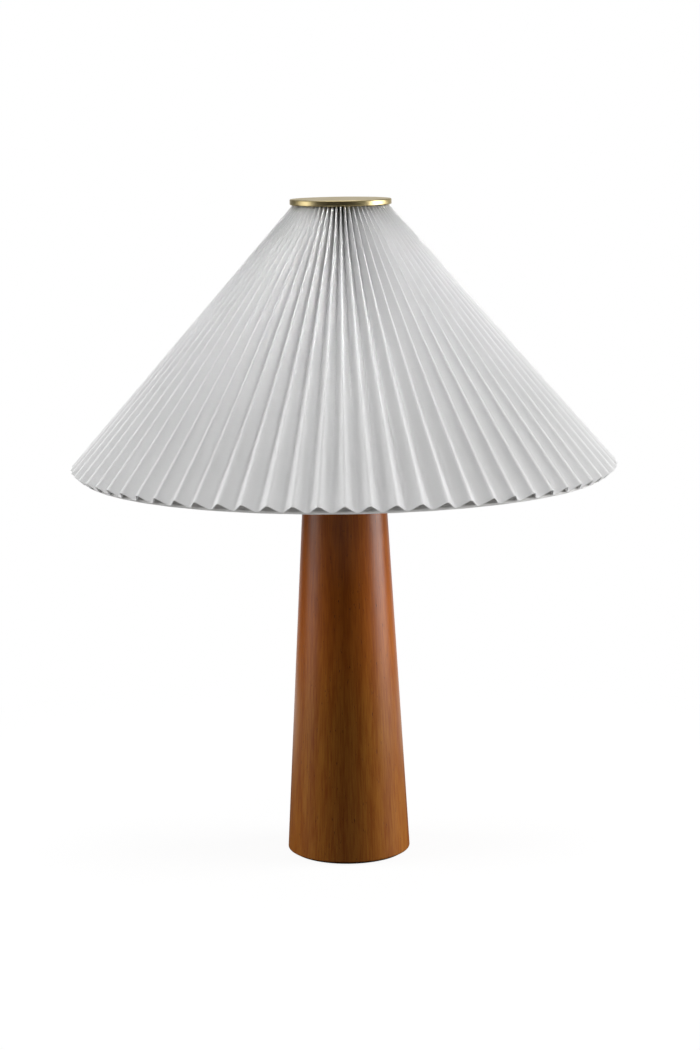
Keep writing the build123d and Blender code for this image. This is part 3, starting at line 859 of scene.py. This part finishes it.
@dataclass
class PleatedShade:
    """Cone of pleated cloth over a plain lining, with a rolled hem on the bottom wire.

    The outer folds run from outer_bottom to outer_top, each a radius and a height. The inner folds
    lie a depth inside them, and the lining an inset inside those. A round is the share of half a
    pleat that bends, and the unevenness is in pleats.
    """

    pleats: int = 72
    outer_bottom: Point = (0.2032, 0.2975)
    outer_top: Point = (0.0363, 0.4879)
    depth_bottom: float = 0.0076
    depth_top: float = 0.0115
    inset_bottom: float = 0.00045
    inset_top: float = 0.0022
    lining_gap: float = 0.00015
    lining_top: float = 0.4873
    lining_rows: int = 13
    lining_steps: int = 360
    hem_radius: float = 0.0015
    hem_gap: float = 0.00025
    hem_tuck: float = 0.0019
    hem_steps: int = 576
    hem_sides: int = 14
    hem_ripple: float = 0.03
    hem_ripples: int = 41
    hem_drifts: int = 5
    hem_drift: float = 2.0
    cloth_wall: float = 0.0005
    top_edge: float = 0.4887
    peak_round: float = 0.22
    peak_places: int = 6
    valley_round: float = 0.30
    valley_places: int = 5
    unevenness: float = 0.022
    middle_sway: float = 0.5
    seed: int = 72
    along: int = 25

    def beside(self, end: Point, inward: float, up: float = 0.0) -> Point:
        """Point set in from an end of the outer fold line, square to it, then moved up along it.

        Args:
            end: radius and height of the end.
            inward: distance set in.
            up: distance moved up.

        Returns:
            The point's radius and height.
        """
        run = self.outer_bottom[0] - self.outer_top[0]
        rise = self.outer_top[1] - self.outer_bottom[1]
        out, down = run / math.hypot(run, rise), rise / math.hypot(run, rise)
        return end[0] - inward * down - up * out, end[1] - inward * out + up * down

    def outer_fold(self) -> tuple[Point, Point]:
        """Ends of an outer fold, cut off level under the cap."""
        return self.outer_bottom, level(self.outer_bottom, self.outer_top, self.top_edge)

    def inner_fold(self) -> tuple[Point, Point]:
        """Ends of an inner fold, cut off level under the cap."""
        low = self.beside(self.outer_bottom, self.depth_bottom)
        return low, level(low, self.beside(self.outer_top, self.depth_top), self.top_edge)

    def fold_length(self) -> float:
        """Length of one outer fold, from the hem to the cap."""
        return math.dist(*self.outer_fold())

    def panel_width(self) -> float:
        """Width of the cloth between an outer and an inner fold, at the hem.

        Returns:
            The distance between the two folds' ends, half a pleat apart.
        """
        outer, inner = self.outer_bottom, self.inner_fold()[0]
        turn = math.pi / self.pleats
        outer_end = Vector((outer[0], 0.0, outer[1]))
        inner_end = Vector((inner[0] * math.cos(turn), inner[0] * math.sin(turn), inner[1]))
        return (outer_end - inner_end).length

    def fold_wave(self, phase: np.ndarray) -> np.ndarray:
        """How far the cloth is from the outer fold (0) to the inner fold (1), across one pleat.

        It is a triangle wave whose corners are rounded by parabolas, scaled to reach 0 and 1 again.

        Args:
            phase: place across the pleat, in turns from the outer fold.

        Returns:
            The wave's value at each place.
        """
        far = np.abs((phase + 0.5) % 1.0 - 0.5) * 2.0
        peak, valley = self.peak_round, self.valley_round
        wave = np.where(far < peak, far**2 / (2 * peak) + peak / 2, far)
        wave = np.where(1 - far < valley, 1 - (1 - far) ** 2 / (2 * valley) - valley / 2, wave)
        return (wave - peak / 2) / (1 - peak / 2 - valley / 2)

    def pleat_places(self) -> np.ndarray:
        """Places across one pleat, close together where the cloth bends.

        Returns:
            The places, in turns from the outer fold.
        """
        peak = np.linspace(0.0, self.peak_round, self.peak_places)
        valley = np.linspace(1 - self.valley_round, 1.0, self.valley_places)
        half = np.concatenate([peak, valley]) / 2
        return np.concatenate([half, 1 - half[-2:0:-1]])

    def sway(self, turn: np.ndarray, up: np.ndarray) -> np.ndarray:
        """How far each fold strays in angle, most at the hem, as hand-set pleats do.

        Each fold has a seeded stray at the hem, which fades out to the top, and one in the middle,
        which fades out to both ends. Between folds the strays go straight from one to the next.

        Args:
            turn: place round the shade, in pleats.
            up: share of the way up the folds.

        Returns:
            The stray at each place, in pleats.
        """
        chance = np.random.default_rng(self.seed)
        stray = chance.uniform(-self.unevenness, self.unevenness, (2, self.pleats))
        knots = np.arange(self.pleats)
        at_hem, at_middle = (np.interp(turn, knots, row, period=self.pleats) for row in stray)
        return at_hem * (1 - up) + self.middle_sway * at_middle * np.sin(math.pi * up)

    def skin(self) -> bpy.types.Object:
        """Make the pleated cloth.

        A point is at share s up the fold lines and at angle a. Its radius and height lie on the
        straight line from the outer fold to the inner fold at s, as far along as the fold wave
        says.

        Returns:
            The cloth piece, with its wall.
        """
        up = np.linspace(0.0, 1.0, self.along)[:, None]
        turn = (np.arange(self.pleats)[:, None] + self.pleat_places()).reshape(1, -1)
        outer, inner = np.array(self.outer_fold()), np.array(self.inner_fold())
        on_outer = outer[0] + (outer[1] - outer[0]) * up[..., None]
        on_inner = inner[0] + (inner[1] - inner[0]) * up[..., None]
        place = on_outer + (on_inner - on_outer) * self.fold_wave(turn)[..., None]
        angle = (turn + self.sway(turn, up)) * FULL_TURN / self.pleats - math.pi / 2
        points = around_axis(place[..., 0], angle, place[..., 1])
        across = np.append(turn, self.pleats) * 2 * self.panel_width()
        cloth = np.stack(np.broadcast_arrays(across, up * self.fold_length()), axis=-1)
        piece = grid_piece("pleated_cloth_cone", points, cloth)
        give_wall(piece, self.cloth_wall)
        return piece

    def hem_centre(self) -> Point:
        """Radius and height of the middle of the rolled hem."""
        inward = self.depth_bottom + self.inset_bottom + self.hem_gap + self.hem_radius
        return self.beside(self.outer_bottom, inward, self.hem_tuck)

    def lining_ends(self) -> tuple[Point, Point]:
        """Ends of the lining's outside, at the hem and at the top.

        Returns:
            The radius and height of each end.
        """
        low = self.beside(self.outer_bottom, self.depth_bottom + self.inset_bottom)
        high = self.beside(self.outer_top, self.depth_top + self.inset_top)
        hem_top = self.hem_centre()[1] + self.hem_radius + self.lining_gap
        first, last = level(low, high, hem_top), level(low, high, self.lining_top)
        return (first[0] - self.lining_gap, first[1]), (last[0] - self.lining_gap, last[1])

    def lining(self) -> bpy.types.Object:
        """Make the plain lining: a straight line from hem to top, carried round the axis.

        Returns:
            The lining piece, with its wall.
        """
        first, last = (np.array(end) for end in self.lining_ends())
        up = np.linspace(0.0, 1.0, self.lining_rows)[:, None]
        profile = first + (last - first) * up
        around = turns(self.lining_steps, closing=1) * profile[:, :1]
        along = up * np.linalg.norm(last - first)
        cloth = np.stack(np.broadcast_arrays(around, along), axis=-1)
        piece = grid_piece("lining_cone", turned(profile, self.lining_steps), cloth)
        give_wall(piece, self.cloth_wall)
        return piece

    def hem(self) -> bpy.types.Object:
        """Make the rolled hem: a circle carried round the axis, slightly uneven as rolled cloth is.

        Its radius is 1 - k (1 + sin(n a + d sin(m a))) of the full one at angle a, for n ripples of
        depth k that drift d to and fro m times.

        Returns:
            The hem piece, a closed ring.
        """
        centre = self.hem_centre()
        around, about = turns(self.hem_steps), turns(self.hem_sides)[:, None]
        drift = self.hem_drift * np.sin(self.hem_drifts * around)
        ripple = 1 - self.hem_ripple * (1 + np.sin(self.hem_ripples * around + drift))
        radius = centre[0] + self.hem_radius * ripple * np.cos(about)
        height = centre[1] + self.hem_radius * ripple * np.sin(about)
        flat = np.broadcast_arrays(
            turns(self.hem_steps, closing=1) * centre[0],
            turns(self.hem_sides, closing=1)[:, None] * self.hem_radius,
        )
        points = around_axis(radius, around, height)
        return grid_piece("hem_roll", points, np.stack(flat, axis=-1), loop=True)

    def build(self, wardrobe: Wardrobe) -> bpy.types.Object:
        """Make the shade's cloth and dress it.

        Args:
            wardrobe: the finishes.

        Returns:
            The pleated cloth.
        """
        skin, lining, hem = self.skin(), self.lining(), self.hem()
        wardrobe.dress_piece(skin, "pleated_cloth", "shade", "pleated_skin")
        wardrobe.dress_piece(lining, "lining_cloth", "shade", "shade_liner")
        wardrobe.dress_piece(hem, "lining_cloth", "shade", "shade_hem")
        return skin


@dataclass
class FeltPiece:
    """Flat felt disc or ring with softly rounded edges."""

    name: str
    node: str
    body: str
    slot: str
    rests_on: str
    hole: float
    round: float
    edge_points: int = 9
    steps: int = 96

    def profile(self, outer: float, low: float, high: float) -> np.ndarray:
        """Outline of one side of the felt, each edge eased by half an ellipse.

        Args:
            outer: the outer radius.
            low: the height of the underside.
            high: the height of the upper side.

        Returns:
            Rows of radius and height: out from the underside's inner edge and back over the top.
        """
        ease = np.linspace(-math.pi / 2, math.pi / 2, self.edge_points)
        bulge = self.round * (1 - np.cos(ease))
        middle, half = (low + high) / 2, (high - low) / 2
        edge = np.stack([outer - bulge, middle + half * np.sin(ease)], axis=-1)
        if self.hole == 0.0:
            return np.concatenate([[[0.0, low]], edge, [[0.0, high]]])
        inner = np.stack([self.hole + bulge, middle - half * np.sin(ease)], axis=-1)
        return np.concatenate([edge, inner])

    def build(self, wardrobe: Wardrobe) -> None:
        """Make the felt and dress it.

        Args:
            wardrobe: the finishes.
        """
        low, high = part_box(self.node)
        points = turned(self.profile(high.x, low.z, high.z), self.steps)
        piece = grid_piece(self.name, points, loop=self.hole > 0.0)
        if self.hole == 0.0:
            close_poles(piece)
        wardrobe.dress_piece(piece, self.slot, self.body, self.node)


FELTS = (
    FeltPiece(
        "foot_felt_disc",
        node="felt_pad",
        body="base",
        slot="foot_felt",
        rests_on="wood_body",
        hole=0.0,
        round=0.0006,
    ),
    FeltPiece(
        "cap_felt_ring",
        node="cap_washer",
        body="cap_underlay",
        slot="washer_felt",
        rests_on="shade_fitter",
        hole=0.00335,
        round=0.0004,
    ),
)


class Reach(Enum):
    """What a lamp lights, each with Blender's name for the pleats' link to it."""

    EVERYTHING = ""
    OFF_PLEATS = "EXCLUDE"
    PLEATS_ONLY = "INCLUDE"


@dataclass(frozen=True)
class Softbox:
    """Soft rectangular lamp, aimed at a point.

    The power is in watts. The beam is in degrees, and narrow where a grid is on the lamp. One that
    isn't mirrored doesn't show in reflections.
    """

    name: str
    place: Place
    target: Place
    size: Point
    power: float
    reach: Reach = Reach.EVERYTHING
    beam: float = 180.0
    mirrored: bool = True

    def hang(self, flag: bpy.types.Collection | None) -> None:
        """Hang the lamp out of the camera's sight.

        Args:
            flag: the link to the pleats, where it doesn't light everything.
        """
        data = bpy.data.lights.new(self.name, "AREA")
        data.shape = "RECTANGLE"
        data.size, data.size_y = self.size
        data.energy = self.power
        data.spread = math.radians(self.beam)
        lamp = bpy.data.objects.new(self.name, data)
        lamp.location = self.place
        aim = Vector(self.target) - Vector(self.place)
        lamp.rotation_euler = aim.to_track_quat("-Z", "Y").to_euler()
        lamp.visible_camera = False
        lamp.visible_glossy = self.mirrored
        lamp.light_linking.receiver_collection = flag
        bpy.context.scene.collection.objects.link(lamp)
        log.info("hung %s", self.name)


SOFTBOXES = (
    Softbox(
        "low_right_softbox",
        place=(1.25, 0.05, 0.31),
        target=(0.0, 0.05, 0.31),
        size=(0.80, 0.62),
        power=12.0,
        reach=Reach.OFF_PLEATS,
    ),
    Softbox(
        "low_left_softbox",
        place=(-1.25, -0.05, 0.31),
        target=(0.0, -0.05, 0.31),
        size=(0.70, 0.62),
        power=3.9,
        reach=Reach.OFF_PLEATS,
    ),
    Softbox(
        "mid_right_softbox",
        place=(1.20, -0.08, 0.82),
        target=(0.0, -0.05, 0.40),
        size=(1.00, 0.60),
        power=9.8,
        mirrored=False,
    ),
    Softbox(
        "mid_left_softbox",
        place=(-1.20, -0.08, 0.82),
        target=(0.0, -0.05, 0.40),
        size=(1.00, 0.60),
        power=10.2,
        mirrored=False,
    ),
    Softbox(
        "front_right_softbox",
        place=(0.70, -0.99, 1.10),
        target=(0.0, 0.0, 0.40),
        size=(0.60, 0.60),
        power=2.2,
        reach=Reach.PLEATS_ONLY,
    ),
    Softbox(
        "crown_softbox",
        place=(0.62, -1.00, 1.05),
        target=(0.0, -0.03, 0.485),
        size=(0.20, 0.20),
        power=0.070,
        reach=Reach.PLEATS_ONLY,
        beam=13.0,
    ),
    Softbox(
        "back_softbox",
        place=(0.50, 1.10, 0.55),
        target=(0.0, 0.0, 0.40),
        size=(0.60, 0.40),
        power=3.2,
        reach=Reach.PLEATS_ONLY,
        mirrored=False,
    ),
    Softbox(
        "under_rim_softbox",
        place=(0.0, -0.31, 0.22),
        target=(0.0, -0.30, 0.40),
        size=(0.60, 0.18),
        power=0.30,
    ),
    Softbox(
        "top_softbox",
        place=(0.0, 0.0, 1.20),
        target=(0.0, 0.001, 0.40),
        size=(0.60, 0.60),
        power=2.8,
    ),
)


@dataclass
class Studio:
    """White floor and room, soft lamps all round, and the camera of the photograph.

    A range is the two values between which a light or the floor fades.
    """

    distance: float = 1.8728
    eye_height: float = 0.5715
    pitch: float = 9.731
    yaw: float = 0.118
    roll: float = 0.741
    focal_pixels: float = 2534.7
    frame_height: float = 1050.0
    sensor_width: float = 36.0
    clip_range: Point = (0.05, 50.0)
    floor_radius: float = 0.60
    floor_drop: float = 0.0001
    floor_rings: int = 8
    floor_steps: int = 96
    floor_grey: Colour = (0.10, 0.10, 0.10)
    floor_glow: float = 0.92
    floor_fade: Point = (0.22, 0.56)
    floor_mirror: Point = (0.0, 0.30)
    overhead_range: Point = (0.60, 0.98)
    overhead_light: Point = (0.02, 0.75)
    behind_range: Point = (0.72, 0.95)
    behind_light: float = 0.75

    def camera(self) -> None:
        """Place the camera in front of the lamp, looking slightly down."""
        data = bpy.data.cameras.new("front_view")
        data.sensor_width = self.sensor_width
        data.lens = self.focal_pixels / self.frame_height * data.sensor_width
        data.clip_start, data.clip_end = self.clip_range
        camera = bpy.data.objects.new("front_view", data)
        camera.matrix_world = (
            Matrix.Translation((0.0, -self.distance, self.eye_height))
            @ Matrix.Rotation(math.radians(-self.yaw), 4, "Z")
            @ Matrix.Rotation(math.radians(90.0 - self.pitch), 4, "X")
            @ Matrix.Rotation(math.radians(-self.roll), 4, "Z")
        )
        bpy.context.scene.collection.objects.link(camera)
        bpy.context.scene.camera = camera

    @staticmethod
    def flag(reach: Reach, pleats: bpy.types.Object) -> bpy.types.Collection:
        """Make the link that keeps lamps off the pleats, or on them alone.

        Args:
            reach: what the lamps light.
            pleats: the pleated cloth.

        Returns:
            The link, for any number of lamps.
        """
        flag = bpy.data.collections.new(reach.name.lower())
        flag.objects.link(pleats)
        flag.collection_objects[0].light_linking.link_state = reach.value
        return flag

    @staticmethod
    def seen_straight(nodes: Nodes, ray: bpy.types.NodeOutputs) -> Socket:
        """Whether a ray comes from the eye, straight or through glass."""
        return nodes.math("MAXIMUM", ray["Is Camera Ray"], ray["Is Transmission Ray"])

    def world(self) -> None:
        """Fill the room: white to the eye, pale behind the lamp in mirrors, and lit overhead."""
        world = bpy.data.worlds.new("studio_room")
        nodes = clear_nodes(world)
        ray = nodes.add("ShaderNodeLightPath").outputs
        way = nodes.parts(nodes.add("ShaderNodeTexCoord").outputs["Generated"])
        room = nodes.fit(way["Z"], *self.overhead_range, *self.overhead_light)
        behind = nodes.fit(way["Y"], *self.behind_range, 0.0, self.behind_light)
        mirrored = nodes.math("MULTIPLY", ray["Is Glossy Ray"], behind)
        shown = nodes.math("MAXIMUM", self.seen_straight(nodes, ray), mirrored)
        strength = nodes.math("MAXIMUM", room, shown)
        white = {"Color": (1.0, 1.0, 1.0), "Strength": strength}
        background = nodes.add("ShaderNodeBackground", white)
        nodes.add("ShaderNodeOutputWorld", {"Surface": background.outputs["Background"]})
        bpy.context.scene.world = world

    def floor_material(self) -> bpy.types.Material:
        """White floor that keeps a faint shadow near the lamp and runs out into the white room.

        Returns:
            The floor's material.
        """
        material = bpy.data.materials.new("white_floor")
        nodes = clear_nodes(material)
        ray = nodes.add("ShaderNodeLightPath").outputs
        place = nodes.on_object()
        straight = self.seen_straight(nodes, ray)
        back = nodes.fit(nodes.parts(place)["Y"], *self.floor_mirror)
        mirrored = nodes.math("MULTIPLY", ray["Is Glossy Ray"], back)
        seen = nodes.math("MAXIMUM", straight, mirrored)
        far = nodes.add("ShaderNodeVectorMath", {0: place}, operation="LENGTH").outputs["Value"]
        edge = nodes.fit(far, *self.floor_fade)
        matt = nodes.add("ShaderNodeBsdfDiffuse", {"Color": self.floor_grey})
        bright = nodes.math("MULTIPLY", straight, self.floor_glow)
        glow = nodes.add("ShaderNodeEmission", {"Strength": bright})
        both = {0: matt.outputs["BSDF"], 1: glow.outputs["Emission"]}
        near = nodes.add("ShaderNodeAddShader", both).outputs["Shader"]
        white = nodes.add("ShaderNodeEmission", {"Strength": seen}).outputs["Emission"]
        shown = nodes.add("ShaderNodeMixShader", {0: edge, 1: near, 2: white})
        nodes.add("ShaderNodeOutputMaterial", {"Surface": shown.outputs["Shader"]})
        return material

    def floor(self) -> None:
        """Lay the floor: rings of points from the edge in, just under the lamp's felt."""
        radius = np.linspace(self.floor_radius, 0.0, self.floor_rings)
        profile = np.stack([radius, np.full_like(radius, -self.floor_drop)], axis=-1)
        piece = grid_piece("floor", turned(profile, self.floor_steps))
        close_poles(piece)
        piece.data.materials.append(self.floor_material())
        log.info("laid %s", piece.name)

    def build(self, pleats: bpy.types.Object) -> None:
        """Set up the camera, the lamps, the room and the floor.

        Args:
            pleats: the pleated cloth, which some lamps are kept off and others on.
        """
        self.camera()
        flags = {reach: self.flag(reach, pleats) for reach in Reach if reach.value}
        for softbox in SOFTBOXES:
            softbox.hang(flags.get(softbox.reach))
        self.world()
        self.floor()
        bpy.context.scene.view_settings.view_transform = "Standard"


def main() -> None:
    """Dress the CAD nodes, make the cloth pieces and set up the studio."""
    logging.basicConfig(level=logging.INFO, format="%(message)s")
    wardrobe = Wardrobe(Effects())
    wardrobe.dress_nodes()
    pleats = PleatedShade().build(wardrobe)
    Studio().build(pleats)
    for felt in FELTS:
        felt.build(wardrobe)


if __name__ == "__main__":
    main()
